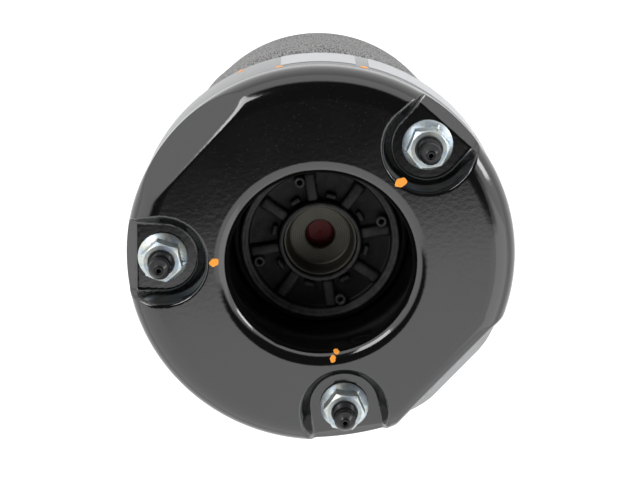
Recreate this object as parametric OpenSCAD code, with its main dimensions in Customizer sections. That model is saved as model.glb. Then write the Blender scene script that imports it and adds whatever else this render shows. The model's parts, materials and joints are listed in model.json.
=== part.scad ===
// Air suspension strut: a pressed top mount with three studs, an air spring
// and the twin-tube damper inside it, down to the lower eye bush.
// +Z points up along the piston rod. The origin is the centre of the seat
// face, the flat ring of the top plate that bears against the car body.

/* [Top plate] */
// Outer radius of the top plate and of the spring cap below it
plate_r = 85; // [83:0.5:90]
// Thickness of the pressed plate
plate_t = 4; // [3:0.5:5]
// Radius of the rounded outer edge
edge_round = 12; // [10:0.5:13]
// Inner radius of the well in the middle of the plate
well_r = 40; // [39:0.5:41]
// Radius of the rolled lip of the well
lip_round = 6; // [5:0.5:7]
// Depth of the three nut pads below the seat face
pad_depth = 9; // [8:0.5:10]
// Distance from the axis to the vertical flat of the rim
flat_x = 76.6; // [75:0.2:80]
// Distance from the axis to the crest of the sloping flat
slope_x = 71.5; // [70:0.2:75]

/* [Studs] */
// Radius of the circle on which the three studs stand
stud_circle_r = 68.7; // [67:0.1:70]
// Angles of the three studs around the axis
stud_angles = [178.9, 48.8, -80.9];
// Radius of a stud
stud_r = 5; // [4.5:0.1:5.5]
// Height of the stud tips above the seat face
stud_h = 13; // [12:0.5:24]

/* [Air spring] */
// Largest outer radius of the bellows
bellows_r = 78.5; // [77:0.5:82]
// Wall thickness of the bellows
bellows_t = 2.6; // [2:0.1:3]
// Outer radius of the bellows at its rolling lobe
lobe_out_r = 70; // [68:0.5:74]
// Radius of the rolling piston
roll_r = 50; // [48:0.5:52]
// Height of the middle of the rolling lobe
lobe_z = -195; // [-205:1:-185]

/* [Damper] */
// Radius of the piston rod
rod_r = 8; // [7:0.5:9]
// Outer radius of the damper tube
tube_r = 25; // [24:0.5:25]
// Height of the top end of the damper tube
tube_top_z = -150; // [-155:1:-145]
// Height of the lower eye centre
eye_z = -464; // [-472:1:-460]
// Radius of the bolt hole through the lower bush
bush_bore_r = 6.1; // [5:0.1:7]

/* [Hidden] */
$fn = 96;

// Small clearances
fit = 0.05;
gap = 0.3;

// Top plate, worked out from the driving dimensions
rim_r = plate_r - edge_round;
lip_r = well_r + lip_round;
skirt_z = -16;
well_z = -56;
pad_r = 17.5;
pad_wall_t = 3;
pad_edge_x = 80.4;
pad_slope = 40;
pad_low_z = -15;
slope_low_z = -14.5;
flat_low_z = -15.5;
stud_hole_r = stud_r + 0.5;
flat_angle = -42;
slope_angle = 137;
slope_tilt = 40;

// Spring cap
cap_r = plate_r - 0.5;
cap_top_z = -pad_depth - plate_t;
cap_floor_z = -62;
cap_low_z = -68;
cap_band_z = -48;
band_in_r = 80.5;
neck_r = 74;
neck_z = -80;
stud_low_z = -28;
boss_r = 8.5;
boss_low_z = -32;
port_angle = 240;
port_z = -38;
port_r = 6;

// Hub and core
hub_r = 36;
hub_top_z = -36;
hub_floor_z = -41;
hub_low_z = -61;
core_r = 16.7;
core_bore_r = 6.6;
core_low_z = -74;
core_face_z = -48;

// Rolling lobe
lobe_in_r = roll_r + gap;
lobe_mid_r = (lobe_out_r + lobe_in_r) / 2;
lobe_r = (lobe_out_r - lobe_in_r) / 2;

bellows_top_z = -56;
leg_top_z = -156;

// Rolling piston
piston_t = 4;
piston_top_z = -154;
piston_low_z = -280;
sleeve_low_z = -196;
seal_z = [-184, -166];

// Damper
tube_t = 2.5;
tube_in_r = tube_r - tube_t;
groove_r = tube_r - 1;
groove_low_z = sleeve_low_z - 2.3;
tube_low_z = eye_z + 26;
tube_end_t = 6;
press_low_z = tube_low_z + 14;
work_r = 16;
guide_low_z = tube_top_z - 25;
damper_piston_z = -330;
rebound_z = guide_low_z - 61;
bumper_low_z = tube_top_z + 50;

// Points on an arc around c from angle a to angle b
function arc(c, r, a, b, n = 10) =
  [for (i = [0:n]) let (t = a + (b - a) * i / n) [c[0] + r * cos(t), c[1] + r * sin(t)]];

// A ring of rectangular section
module ring(r_in, r_out, z_low, z_high) {
  rotate_extrude()
    translate([r_in, z_low]) square([r_out - r_in, z_high - z_low]);
}

// Places its children at each stud
module at_studs() {
  for (a = stud_angles)
    rotate([0, 0, a]) translate([stud_circle_r, 0, 0]) children();
}

// ---- Top mount ----

// Everything that lies within the outer face of the plate
module plate_envelope() {
  rotate_extrude()
    polygon(concat(
      [[lip_r, skirt_z], [lip_r, 0]],
      arc([rim_r, -edge_round], edge_round, 90, 0, 12),
      [[plate_r, skirt_z]]));
}

// The pressed sheet: well, rolled lip, flat seat, rounded edge and skirt
module plate_sheet() {
  rotate_extrude()
    polygon(concat(
      [[well_r, well_z]],
      arc([lip_r, -lip_round], lip_round, 180, 90, 12),
      arc([rim_r, -edge_round], edge_round, 90, 0, 12),
      [[plate_r, skirt_z], [plate_r - plate_t, skirt_z]],
      arc([rim_r, -edge_round], edge_round - plate_t, 0, 90, 12),
      arc([lip_r, -lip_round], lip_round - plate_t, 90, 180, 8),
      [[well_r + plate_t, well_z]]));
}

// A nut pad's outline solid: round inside, straight sides out past the rim
module pad_block(r, z_low, z_high) {
  translate([0, 0, z_low]) cylinder(r = r, h = z_high - z_low);
  translate([0, -r + 1, z_low]) cube([30, 2 * r - 2, z_high - z_low]);
}

// The space above a nut pad, sloping down past a chord at the rim
module pad_cut() {
  pad_block(pad_r, -pad_depth, 5);
  translate([pad_edge_x - stud_circle_r, -pad_r, -pad_depth])
    rotate([0, pad_slope, 0]) cube([20, 2 * pad_r, 20]);
}

// Solid metal behind a flat of the rim, at a distance x from the axis
module flat_backing(angle, x, z_low) {
  rotate([0, 0, angle]) translate([x, -60, z_low]) cube([30, 120, -z_low]);
}

// The cut that leaves a flat on the rim, leaning outwards by tilt
module flat_cut(angle, x, z_low, tilt) {
  rotate([0, 0, angle]) translate([x, -60, z_low])
    rotate([0, tilt, 0]) cube([40, 120, 40]);
}

// Metal added below the sheet, kept within its outer face and off the cap
module plate_backing() {
  difference() {
    intersection() {
      plate_envelope();
      union() {
        flat_backing(flat_angle, flat_x - plate_t, flat_low_z);
        flat_backing(slope_angle, slope_x - plate_t - 1, slope_low_z);
        at_studs() pad_block(pad_r + pad_wall_t, pad_low_z, 0);
      }
    }
    translate([0, 0, neck_z]) cylinder(r = neck_r + gap, h = cap_top_z - neck_z);
    at_studs() translate([0, 0, neck_z])
      cylinder(r = boss_r + gap, h = cap_top_z - 0.2 - neck_z);
  }
}

module mount_plate() {
  color("#18181a")
  difference() {
    union() {
      plate_sheet();
      plate_backing();
    }
    at_studs() pad_cut();
    at_studs() translate([0, 0, pad_low_z - 1]) cylinder(r = stud_hole_r, h = 10);
    flat_cut(flat_angle, flat_x, skirt_z - 9, 0);
    flat_cut(slope_angle, slope_x, 0, slope_tilt);
  }
}

// Studs: screwed into the cap, threaded shank, relief groove, pilot, cone tip
module mount_studs() {
  color("#4a4a4c")
  at_studs()
    rotate_extrude()
      polygon([[0, stud_low_z], [stud_r - 0.8, stud_low_z],
               [stud_r, stud_low_z + 0.8], [stud_r, 0.6], [stud_r - 0.4, 0.8],
               [stud_r - 0.4, 1.2], [stud_r, 1.4], [stud_r, stud_h - 7],
               [stud_r - 0.8, stud_h - 6.4], [stud_r - 0.8, stud_h - 5.8],
               [stud_r - 0.4, stud_h - 5.4], [stud_r - 0.4, stud_h - 2.8],
               [stud_r - 2.8, stud_h], [0.9, stud_h], [0, stud_h - 1]]);
}

module flange_nuts() {
  nut_z = -pad_depth;
  flange_r = 10.9;
  hex_r = 16 / sqrt(3);
  nut_h = 9.5;
  color("#d8dcdc")
  at_studs()
    difference() {
      union() {
        rotate_extrude()
          polygon([[0, nut_z], [flange_r, nut_z], [flange_r, nut_z + 1.2],
                   [8.2, nut_z + 2.6], [0, nut_z + 2.6]]);
        intersection() {
          rotate([0, 0, 15]) translate([0, 0, nut_z + 0.5])
            cylinder(r = hex_r, h = nut_h - 0.5, $fn = 6);
          rotate_extrude()
            polygon([[0, nut_z], [hex_r + 1, nut_z], [hex_r + 1, nut_z + nut_h - 1.4],
                     [7.6, nut_z + nut_h], [0, nut_z + nut_h]]);
        }
      }
      translate([0, 0, nut_z - 1]) cylinder(r = stud_r + fit, h = nut_h + 2);
      translate([0, 0, nut_z + nut_h - 1]) cylinder(r1 = stud_r, r2 = stud_r + 1.2, h = 1.1);
    }
}

// Rubber ring bonded between the plate's well and the hub
module mount_isolator() {
  color("#101011")
  rotate_extrude()
    polygon(concat(
      [[hub_r + fit, well_z], [well_r - fit, well_z], [well_r - fit, -43]],
      arc([(hub_r + well_r) / 2, -41.5], 1.4, 20, 160, 6),
      [[hub_r + fit, -43]]));
}

// Moulded hub: rim, recessed floor, eight ribs, slots and four small bosses
module mount_hub() {
  ribs = 8;
  rib_start = 10;
  slot_start = 32;
  boss_start = 19;
  color("#1c1c1e")
  difference() {
    union() {
      rotate_extrude()
        polygon([[core_r + fit, hub_low_z], [hub_r, hub_low_z], [hub_r, hub_top_z - 1],
                 [hub_r - 0.8, hub_top_z], [hub_r - 1.6, hub_top_z],
                 [hub_r - 2, hub_top_z - 1.6], [hub_r - 3.4, hub_top_z - 1.6],
                 [hub_r - 4.2, hub_floor_z], [18.8, hub_floor_z],
                 [18.2, hub_top_z], [core_r + fit, hub_top_z]]);
      for (i = [0:ribs - 1])
        rotate([0, 0, rib_start + 360 / ribs * i])
          translate([17.5, -2.2, hub_floor_z - 1]) cube([14.5, 4.4, 4]);
      for (i = [0:3])
        rotate([0, 0, boss_start + 90 * i])
          translate([29, 0, hub_floor_z - 1]) cylinder(r = 2.4, h = 5.2);
      for (i = [0:ribs - 1])
        rotate([0, 0, slot_start + 360 / ribs * i])
          translate([19.6, -2.2, hub_floor_z - 1]) cube([2.4, 4.4, 4.4]);
    }
    for (i = [0:3])
      rotate([0, 0, boss_start + 90 * i])
        translate([29, 0, hub_floor_z]) cylinder(r = 1.2, h = 6);
  }
}

// Turned steel core that holds the rod, with a deep collar and a stepped face
module core_sleeve() {
  face_r = 12.75;
  tread = 1.4;
  riser = 0.3;
  steps = [for (i = [0:3]) each [
    [face_r - tread * i, core_face_z - riser * i],
    [face_r - tread * (i + 1) + 0.3, core_face_z - riser * i - 0.1],
    [face_r - tread * (i + 1), core_face_z - riser * (i + 1)]]];
  color("#6e6e66")
  rotate_extrude()
    polygon(concat(
      [[rod_r + 0.02, core_low_z], [core_r, core_low_z], [core_r, -39.5],
       [16.4, -38.8], [15.6, -38.8], [14.4, core_face_z + 1]],
      steps,
      [[core_bore_r, core_face_z - 1.6], [core_bore_r, -63], [rod_r + 0.02, -63]]));
}

// Red protective plug pressed into the bore of the core
module core_plug() {
  plug_r = core_bore_r - fit;
  color("#7a0d0a")
  rotate_extrude()
    polygon([[0, -62.5], [plug_r, -62.5], [plug_r, -55], [plug_r - 0.8, -54],
             [3, -54], [2.4, -55.5], [0, -55.5]]);
}

// Rubber ring that seals the core against the cap's floor
module core_seal() {
  color("#161617") ring(core_r + fit, 20 - fit, cap_low_z, cap_floor_z);
}

// Cast aluminium cap: floor, well, stud bosses, labelled band, bellows neck
module spring_cap() {
  color("#b9bbbb")
  difference() {
    union() {
      rotate_extrude()
        polygon([[20, cap_low_z], [48, cap_low_z], [48, cap_top_z - 5],
                 [70, cap_top_z - 5], [70, neck_z], [neck_r, neck_z],
                 [neck_r, cap_band_z], [cap_r, cap_band_z], [cap_r, skirt_z],
                 [band_in_r, skirt_z], [band_in_r, cap_band_z + 4], [neck_r, cap_band_z + 4],
                 [neck_r, cap_top_z],
                 [well_r + plate_t + gap, cap_top_z],
                 [well_r + plate_t + gap, cap_floor_z], [20, cap_floor_z]]);
      at_studs() translate([0, 0, boss_low_z])
        cylinder(r = boss_r, h = cap_top_z - 0.5 - boss_low_z);
      rotate([0, 0, port_angle]) translate([70.5, 0, port_z])
        rotate([0, 90, 0]) cylinder(r = 9, h = 11.5);
    }
    at_studs() translate([0, 0, stud_low_z - 1]) cylinder(r = stud_r + 0.02, h = 30);
    rotate([0, 0, port_angle]) translate([60, 0, port_z])
      rotate([0, 90, 0]) cylinder(r = port_r + 0.02, h = 40);
  }
}

// Two blank labels around the cap's band
module cap_labels() {
  color("#eceef0")
  for (span = [[80, 22], [37, 39]])
    rotate([0, 0, span[0]])
      rotate_extrude(angle = span[1])
        translate([cap_r + fit, cap_band_z + 2]) square([0.3, 22]);
}

// ---- Air fitting ----

// Places its children in the side port of the cap, +Z pointing outwards
module at_port() {
  rotate([0, 0, port_angle]) translate([0, 0, port_z]) rotate([0, 90, 0]) children();
}

module air_fitting() {
  color("#b08d3c")
  at_port()
    difference() {
      union() {
        translate([0, 0, 68]) cylinder(r = port_r, h = 17);
        translate([0, 0, cap_r + 0.1]) cylinder(r = 8, h = 4.5, $fn = 6);
        translate([0, 0, cap_r + 4.6]) cylinder(r = 6.4, h = 3);
      }
      ring(port_r - 1.02, port_r + 1, 71.5, 73.5);
      translate([0, 0, 60]) cylinder(r = 2, h = 40);
      translate([0, 0, 76]) cylinder(r = 3.05, h = 20);
      translate([0, 0, 87]) cylinder(r = 4.3, h = 10);
    }
}

module fitting_collet() {
  color("#1d2a4a")
  at_port() ring(3.05, 4.25, 87.2, 93);
}

module fitting_oring() {
  color("#111111")
  at_port() ring(port_r - 1, port_r, 71.6, 73.4);
}

// ---- Air spring ----

module upper_crimp_ring() {
  r = neck_r + 0.2 + bellows_t + 0.1;
  color("#8c8e90")
  rotate_extrude()
    polygon([[r, -72], [r + 1.6, -72], [r + 2.2, -71], [r + 1.8, -68], [r + 1.8, -62],
             [r + 2.2, -59], [r + 1.6, -58], [r, -58]]);
}

// Rolling-lobe bellows: crimped on the cap's neck, down and back up the piston
module bellows() {
  in_r = neck_r + 0.2;
  color("#77777a")
  rotate_extrude()
    polygon(concat(
      [[in_r, bellows_top_z], [in_r + bellows_t, bellows_top_z], [in_r + bellows_t, -74],
       [bellows_r - 0.5, -84], [bellows_r, -92], [bellows_r - 0.4, -100]],
      arc([lobe_mid_r, lobe_z], lobe_r, 0, -180, 16),
      [[lobe_in_r, leg_top_z], [lobe_in_r + bellows_t, leg_top_z]],
      arc([lobe_mid_r, lobe_z], lobe_r - bellows_t, -180, 0, 16),
      [[bellows_r - 0.4 - bellows_t, -100], [bellows_r - bellows_t, -92],
       [bellows_r - 0.5 - bellows_t, -84], [in_r, -74]]));
}

module lower_crimp_ring() {
  r = lobe_in_r + bellows_t + 0.1;
  color("#8c8e90") ring(r, r + 1.6, -171, -158);
}

// Aluminium skirt over which the bellows rolls
module rolling_piston() {
  skirt_in_r = roll_r - piston_t;
  color("#a4a7a8")
  rotate_extrude()
    polygon([[skirt_in_r, piston_top_z], [roll_r, piston_top_z], [roll_r, -232],
             [44, piston_low_z], [44 - piston_t, piston_low_z], [skirt_in_r, -230]]);
}

// Web and sealing sleeve that carry the skirt on the damper tube
module piston_adapter() {
  sleeve_r = tube_r + 6;
  bore_r = tube_r + fit;
  web_r = roll_r - piston_t - 0.02;
  color("#8d9092")
  difference() {
    rotate_extrude()
      polygon([[bore_r, piston_top_z], [web_r, piston_top_z], [web_r, piston_top_z - 6],
               [sleeve_r, piston_top_z - 6], [sleeve_r, sleeve_low_z], [bore_r, sleeve_low_z]]);
    for (z = seal_z) ring(bore_r - 1, bore_r + 2.4, z - 1.5, z + 1.5);
  }
}

module piston_orings() {
  color("#111111")
  for (z = seal_z)
    rotate_extrude() translate([tube_r + fit + 1.25, z]) circle(r = 1.13, $fn = 24);
}

// Snap ring in a groove of the tube, which carries the rolling piston
module piston_circlip() {
  color("#5c5e60")
  difference() {
    ring(groove_r + 0.02, tube_r + 3, groove_low_z + 0.1, sleeve_low_z - 0.1);
    rotate([0, 0, 30]) translate([20, -3, groove_low_z - 1]) cube([12, 6, 5]);
  }
}

// ---- Bump stop ----

module jounce_bumper() {
  color("#c9b98a")
  rotate_extrude()
    polygon(concat(
      [[rod_r + gap, bumper_low_z], [14, bumper_low_z]],
      arc([14, bumper_low_z + 6], 5, -60, 60, 6),
      arc([16, bumper_low_z + 16], 4.5, -60, 60, 6),
      [[18.5, core_low_z - 3], [18.5, core_low_z - 1], [rod_r + gap, core_low_z - 1]]));
}

module bumper_cup() {
  color("#2a2b2d")
  rotate_extrude()
    polygon([[core_r + gap, -68.1], [24, -68.1], [24, -82], [22.5, -82],
             [22.5, -69.8], [core_r + gap, -69.8]]);
}

module striker_cap() {
  color("#1a1a1c")
  rotate_extrude()
    polygon([[rod_r + 1, tube_top_z + 0.1], [tube_r + fit, tube_top_z + 0.1],
             [tube_r + fit, tube_top_z - 3.8], [tube_r + 2, tube_top_z - 3.8],
             [tube_r + 2, tube_top_z + 2], [tube_r, tube_top_z + 4],
             [rod_r + 2, tube_top_z + 4], [rod_r + 1, tube_top_z + 3]]);
}

// ---- Damper ----

module piston_rod() {
  color("#d0d3d6")
  rotate_extrude()
    polygon([[0, damper_piston_z - 24], [5.5, damper_piston_z - 24], [6, damper_piston_z - 23.5],
             [6, damper_piston_z], [rod_r, damper_piston_z], [rod_r, -64],
             [rod_r - 0.8, -63.2], [0, -63.2]]);
}

module rebound_stop() {
  color("#303234")
  ring(rod_r + 0.02, 13, rebound_z - 8, rebound_z);
}

module damper_piston() {
  color("#7d7f82")
  difference() {
    rotate_extrude()
      polygon([[6 + 0.02, damper_piston_z - 15], [work_r - 0.4, damper_piston_z - 15],
               [work_r - 0.4, damper_piston_z - 12], [work_r - 1.6, damper_piston_z - 12],
               [work_r - 1.6, damper_piston_z - 3], [work_r - 0.4, damper_piston_z - 3],
               [work_r - 0.4, damper_piston_z], [6 + 0.02, damper_piston_z]]);
    for (i = [0:5])
      rotate([0, 0, 60 * i]) translate([10.5, 0, damper_piston_z - 20]) cylinder(r = 1.5, h = 30);
  }
}

module piston_band() {
  color("#6a4a2a")
  ring(work_r - 1.6 + 0.02, work_r - fit, damper_piston_z - 11.9, damper_piston_z - 3.1);
}

module piston_nut() {
  color("#8f9294")
  difference() {
    translate([0, 0, damper_piston_z - 22.5]) cylinder(r = 10.4, h = 7.4, $fn = 6);
    translate([0, 0, damper_piston_z - 30]) cylinder(r = 6.03, h = 20);
  }
}

// Outer tube, closed at its lower end, with a snap ring groove
module damper_tube() {
  color("#202124")
  rotate_extrude()
    polygon([[0, tube_low_z], [tube_r - 3, tube_low_z], [tube_r, tube_low_z + 3],
             [tube_r, groove_low_z], [groove_r, groove_low_z], [groove_r, sleeve_low_z],
             [tube_r, sleeve_low_z],
             [tube_r, tube_top_z], [tube_in_r, tube_top_z],
             [tube_in_r, tube_low_z + tube_end_t], [0, tube_low_z + tube_end_t]]);
}

module rod_seal() {
  color("#2c2420")
  ring(rod_r + fit, tube_in_r - fit, tube_top_z - 7, tube_top_z - 0.5);
}

module rod_guide() {
  inner_r = tube_in_r - fit;
  color("#989b9e")
  rotate_extrude()
    polygon([[rod_r + fit, guide_low_z], [work_r - fit, guide_low_z],
             [work_r - fit, guide_low_z + 6], [inner_r, guide_low_z + 6],
             [inner_r, tube_top_z - 7.1], [rod_r + fit, tube_top_z - 7.1]]);
}

module pressure_tube() {
  color("#a8abae")
  ring(work_r, work_r + 2, press_low_z, guide_low_z + 5.9);
}

module base_valve() {
  foot_z = tube_low_z + tube_end_t;
  color("#85888b")
  difference() {
    rotate_extrude()
      polygon([[0, foot_z], [work_r + 3, foot_z], [work_r + 3, press_low_z - 0.1],
               [work_r - fit, press_low_z - 0.1], [work_r - fit, foot_z + 16], [0, foot_z + 16]]);
    for (i = [0:4])
      rotate([0, 0, 72 * i]) translate([9, 0, foot_z - 1]) cylinder(r = 1.6, h = 20);
  }
}

// ---- Lower eye and bush ----

// Places its children at the eye centre, +Z along the bolt
module at_eye() {
  translate([0, 0, eye_z]) rotate([0, 90, 0]) children();
}

module lower_eye() {
  eye_r = 24;
  eye_w = 40;
  color("#232427")
  difference() {
    union() {
      at_eye() cylinder(r = eye_r, h = eye_w, center = true);
      translate([0, 0, eye_z + 12]) cylinder(r = 17, h = tube_low_z - eye_z - 12);
    }
    at_eye() cylinder(r = 20, h = eye_w + 2, center = true);
  }
}

module bush_outer_sleeve() {
  color("#6f7275") at_eye() ring(18, 20 - 0.02, -20, 20);
}

module bush_rubber() {
  color("#131314")
  at_eye()
    rotate_extrude()
      polygon([[10 + fit, -22], [14, -22], [18 - fit, -18], [18 - fit, 18],
               [14, 22], [10 + fit, 22]]);
}

module bush_inner_sleeve() {
  color("#b4b7b9") at_eye() ring(bush_bore_r, 10, -28, 28);
}

mount_plate();
mount_studs();
flange_nuts();
mount_isolator();
mount_hub();
core_sleeve();
core_plug();
core_seal();
spring_cap();
cap_labels();
air_fitting();
fitting_collet();
fitting_oring();
upper_crimp_ring();
bellows();
lower_crimp_ring();
rolling_piston();
piston_adapter();
piston_orings();
piston_circlip();
jounce_bumper();
bumper_cup();
striker_cap();
piston_rod();
rebound_stop();
damper_piston();
piston_band();
piston_nut();
damper_tube();
rod_seal();
rod_guide();
pressure_tube();
base_valve();
lower_eye();
bush_outer_sleeve();
bush_rubber();
bush_inner_sleeve();
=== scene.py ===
# %% [markdown]
# # An air suspension strut, finished in Blender
# The strut hangs from a pressed steel plate with three studs. Below the plate come a cast aluminium
# cap, a rubber bellows reinforced with textile cord, the aluminium piston over which the bellows
# rolls, and the damper tube with its lower eye. The engineering model is loaded first and stays
# fixed. Every visible piece is then remodelled in the same place with more shape and a real finish.

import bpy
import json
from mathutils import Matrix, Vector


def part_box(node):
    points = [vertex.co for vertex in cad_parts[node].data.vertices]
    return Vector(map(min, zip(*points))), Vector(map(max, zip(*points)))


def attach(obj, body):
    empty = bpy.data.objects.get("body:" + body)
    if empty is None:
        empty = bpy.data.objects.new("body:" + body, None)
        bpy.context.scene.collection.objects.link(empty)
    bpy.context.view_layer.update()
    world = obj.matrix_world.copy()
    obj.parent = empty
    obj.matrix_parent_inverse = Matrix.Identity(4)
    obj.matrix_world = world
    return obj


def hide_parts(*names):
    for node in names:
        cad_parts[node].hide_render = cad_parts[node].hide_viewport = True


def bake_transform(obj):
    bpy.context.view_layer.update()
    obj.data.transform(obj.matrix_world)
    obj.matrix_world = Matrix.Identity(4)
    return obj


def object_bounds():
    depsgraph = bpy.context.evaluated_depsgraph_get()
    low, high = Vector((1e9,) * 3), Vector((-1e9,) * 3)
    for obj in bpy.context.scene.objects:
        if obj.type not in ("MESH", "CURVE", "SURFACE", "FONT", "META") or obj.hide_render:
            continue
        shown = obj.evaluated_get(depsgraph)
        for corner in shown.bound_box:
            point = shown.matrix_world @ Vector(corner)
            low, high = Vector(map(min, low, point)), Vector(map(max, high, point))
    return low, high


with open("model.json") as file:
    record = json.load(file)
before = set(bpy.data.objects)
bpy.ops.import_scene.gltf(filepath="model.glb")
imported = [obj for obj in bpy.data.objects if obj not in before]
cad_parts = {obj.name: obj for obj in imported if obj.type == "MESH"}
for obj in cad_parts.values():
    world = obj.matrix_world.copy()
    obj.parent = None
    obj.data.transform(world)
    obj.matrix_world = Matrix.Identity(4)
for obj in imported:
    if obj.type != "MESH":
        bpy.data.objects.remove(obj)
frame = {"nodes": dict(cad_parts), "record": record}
cad_low, cad_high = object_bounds()
print("frame size in mm:", [round(1000 * s) for s in cad_high - cad_low])

# %% Names that every cell uses
import json
import math
import random

import bpy
import numpy as np
from mathutils import Matrix, Vector

MM = 0.001
TOP, LOWER, BUSH = "top_mount", "damper_body", "bush_sleeve"
dice = random.Random(7)

mounts = {m["name"]: m for m in frame["record"]["mounts"]}
stud_places = [Vector(m["pos_m"]) for name, m in mounts.items() if name.startswith("stud_")]
stud_angles = [math.atan2(p.y, p.x) for p in stud_places]
stud_circle = stud_places[0].xy.length / MM
print("studs stand on a circle of radius", round(stud_circle, 1), "mm")

# %% [markdown]
# ## The camera
# The strut is seen almost straight down its axis, from a little past the vertical, so that the
# bellows shows above the plate. A long lens at about 0.7 m gives the mild perspective. The camera
# is built from three directions: right, up and back, which are the columns of its matrix.

# %% Camera
VIEW_TILT, VIEW_TURN, VIEW_ROLL = math.radians(16.3), math.radians(-0.5), math.radians(0.2)
VIEW_DISTANCE, LENS_MM = 0.695, 90
VIEW_TARGET = Vector((-0.0004, 0.009, -0.009))

back = Vector((math.sin(VIEW_TURN), math.sin(VIEW_TILT) * math.cos(VIEW_TURN),
               math.cos(VIEW_TILT) * math.cos(VIEW_TURN)))
right = Vector((math.cos(VIEW_ROLL), math.sin(VIEW_ROLL), 0))
right = (right - back * right.dot(back)).normalized()
up = back.cross(right)

camera_data = bpy.data.cameras.new("camera")
camera_data.lens = LENS_MM
camera = bpy.data.objects.new("camera", camera_data)
bpy.context.scene.collection.objects.link(camera)
camera.matrix_world = (Matrix.Translation(VIEW_TARGET + back * VIEW_DISTANCE)
                       @ Matrix((right, up, back)).transposed().to_4x4())
bpy.context.scene.camera = camera
print("camera", LENS_MM, "mm, tilted", round(math.degrees(VIEW_TILT), 1), "degrees")

# %% [markdown]
# ## Shader maths as plain expressions
# A material is a small program made of nodes. The Wire class wraps one output socket, so that
# `1 - mask * 0.5` adds the Math nodes by itself. Graph adds any other node, and Recipe starts a
# material of its own.

# %% Wire, Graph and Recipe
class Wire:
    """One output socket that can be used in sums."""

    def __init__(self, graph, socket):
        self.graph, self.socket = graph, socket

    def math(self, operation, first, second=0.0):
        return self.graph.node("ShaderNodeMath", {"operation": operation}, {0: first, 1: second})

    def __add__(self, other):
        return self.math("ADD", self, other)

    def __radd__(self, other):
        return self.math("ADD", other, self)

    def __sub__(self, other):
        return self.math("SUBTRACT", self, other)

    def __rsub__(self, other):
        return self.math("SUBTRACT", other, self)

    def __mul__(self, other):
        return self.math("MULTIPLY", self, other)

    def __rmul__(self, other):
        return self.math("MULTIPLY", other, self)


class Graph:
    """One node tree, of a material or of the world."""

    def __init__(self, tree):
        self.tree = tree

    def node(self, kind, settings=None, values=None, out=0):
        made = self.tree.nodes.new(kind)
        for key, value in (settings or {}).items():
            setattr(made, key, value)
        for key, value in (values or {}).items():
            self.feed(made.inputs[key], value)
        return Wire(self, made.outputs[out])

    def feed(self, socket, value):
        if isinstance(value, Wire):
            self.tree.links.new(value.socket, socket)
        else:
            socket.default_value = value

    def between(self, value, low, high):
        """0 below low, 1 above high, smooth between them."""
        return self.node("ShaderNodeMapRange", {"interpolation_type": "SMOOTHSTEP"},
                         {0: value, 1: low, 2: high})


class Recipe(Graph):
    """One material, with its Principled shader ready to be fed."""

    def __init__(self, name, **fixed):
        self.material = bpy.data.materials.new(name)
        self.material.use_nodes = True
        super().__init__(self.material.node_tree)
        self.skin = self.tree.nodes["Principled BSDF"]
        for key, value in fixed.items():
            self.skin.inputs[key.replace("_", " ").title().replace("Ior", "IOR")].default_value = value

    def set(self, name, value):
        self.feed(self.skin.inputs[name], value)

    def place(self, scale=(1, 1, 1), turn=(0, 0, 0), kind="Object"):
        """Object coordinates in metres, scaled and turned by a Mapping node."""
        socket = self.node("ShaderNodeTexCoord", out=["Generated", "Normal", "UV", "Object"].index(kind))
        return self.node("ShaderNodeMapping", None, {"Vector": socket, "Scale": scale, "Rotation": turn})

    def noise(self, where, size_mm, detail=2.0, rough=0.5):
        """Soft noise from 0 to 1 whose blotches are about size_mm across."""
        return self.node("ShaderNodeTexNoise", None, {
            "Vector": where, "Scale": 1 / (size_mm * MM), "Detail": detail, "Roughness": rough})

    def cells(self, where, size_mm):
        """Distance to the nearest of scattered points, from 0 at a point."""
        return self.node("ShaderNodeTexVoronoi", None, {"Vector": where, "Scale": 1 / (size_mm * MM)})

    def tint(self, factor, low, high):
        """A colour from low to high."""
        made = self.node("ShaderNodeMix", {"data_type": "RGBA"}, None, out=2)
        inputs = made.socket.node.inputs
        for socket, value in zip((inputs[0], inputs[6], inputs[7]), (factor, low, high)):
            self.feed(socket, value)
        return made

    def bump(self, height, depth_mm, strength=1.0):
        self.set("Normal", self.node("ShaderNodeBump", None, {
            "Height": height, "Distance": depth_mm * MM, "Strength": strength}))

    def done(self):
        return self.material


def grey(value, warm=0.0):
    """An RGBA colour of one brightness, a little warm or cool."""
    return (value * (1 + warm), value, value * (1 - warm), 1)


# %% [markdown]
# ## Black paint
# The plate is dip painted in gloss black. Real paint of this kind is never a perfect mirror: it has
# a soft orange peel about 2 mm across, a few dust grains, and patches that are slightly less shiny.
# All three are made with noise: the peel goes to the bump, the patches to the roughness.

# %% Paint recipes
def black_paint(name, base, ior, gloss, peel_mm, peel_depth):
    recipe = Recipe(name, ior=ior)
    where = recipe.place()
    peel = recipe.noise(where, peel_mm, 1.5)
    patch = recipe.noise(where, 22, 3)
    grain = recipe.between(recipe.cells(where, 1.6), 0.11, 0.05)
    recipe.set("Base Color", recipe.tint(grain * 0.3, grey(base), grey(0.06, 0.02)))
    recipe.set("Roughness", gloss + patch * 0.05 + grain * 0.2)
    recipe.bump(peel + grain * 0.35, peel_depth)
    return recipe.done()


plate_paint = black_paint("plate_black", 0.003, 1.75, 0.08, 2.2, 0.016)
tube_paint = black_paint("tube_black", 0.011, 1.5, 0.30, 1.1, 0.02)
print("paints:", plate_paint.name, tube_paint.name)

# %% [markdown]
# ## Turned and plated metal
# A turned face shows fine rings round its axis. The rings are a wave of the distance from the axis,
# broken up by noise. Plated and cast parts share the recipe with the rings switched off.

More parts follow.
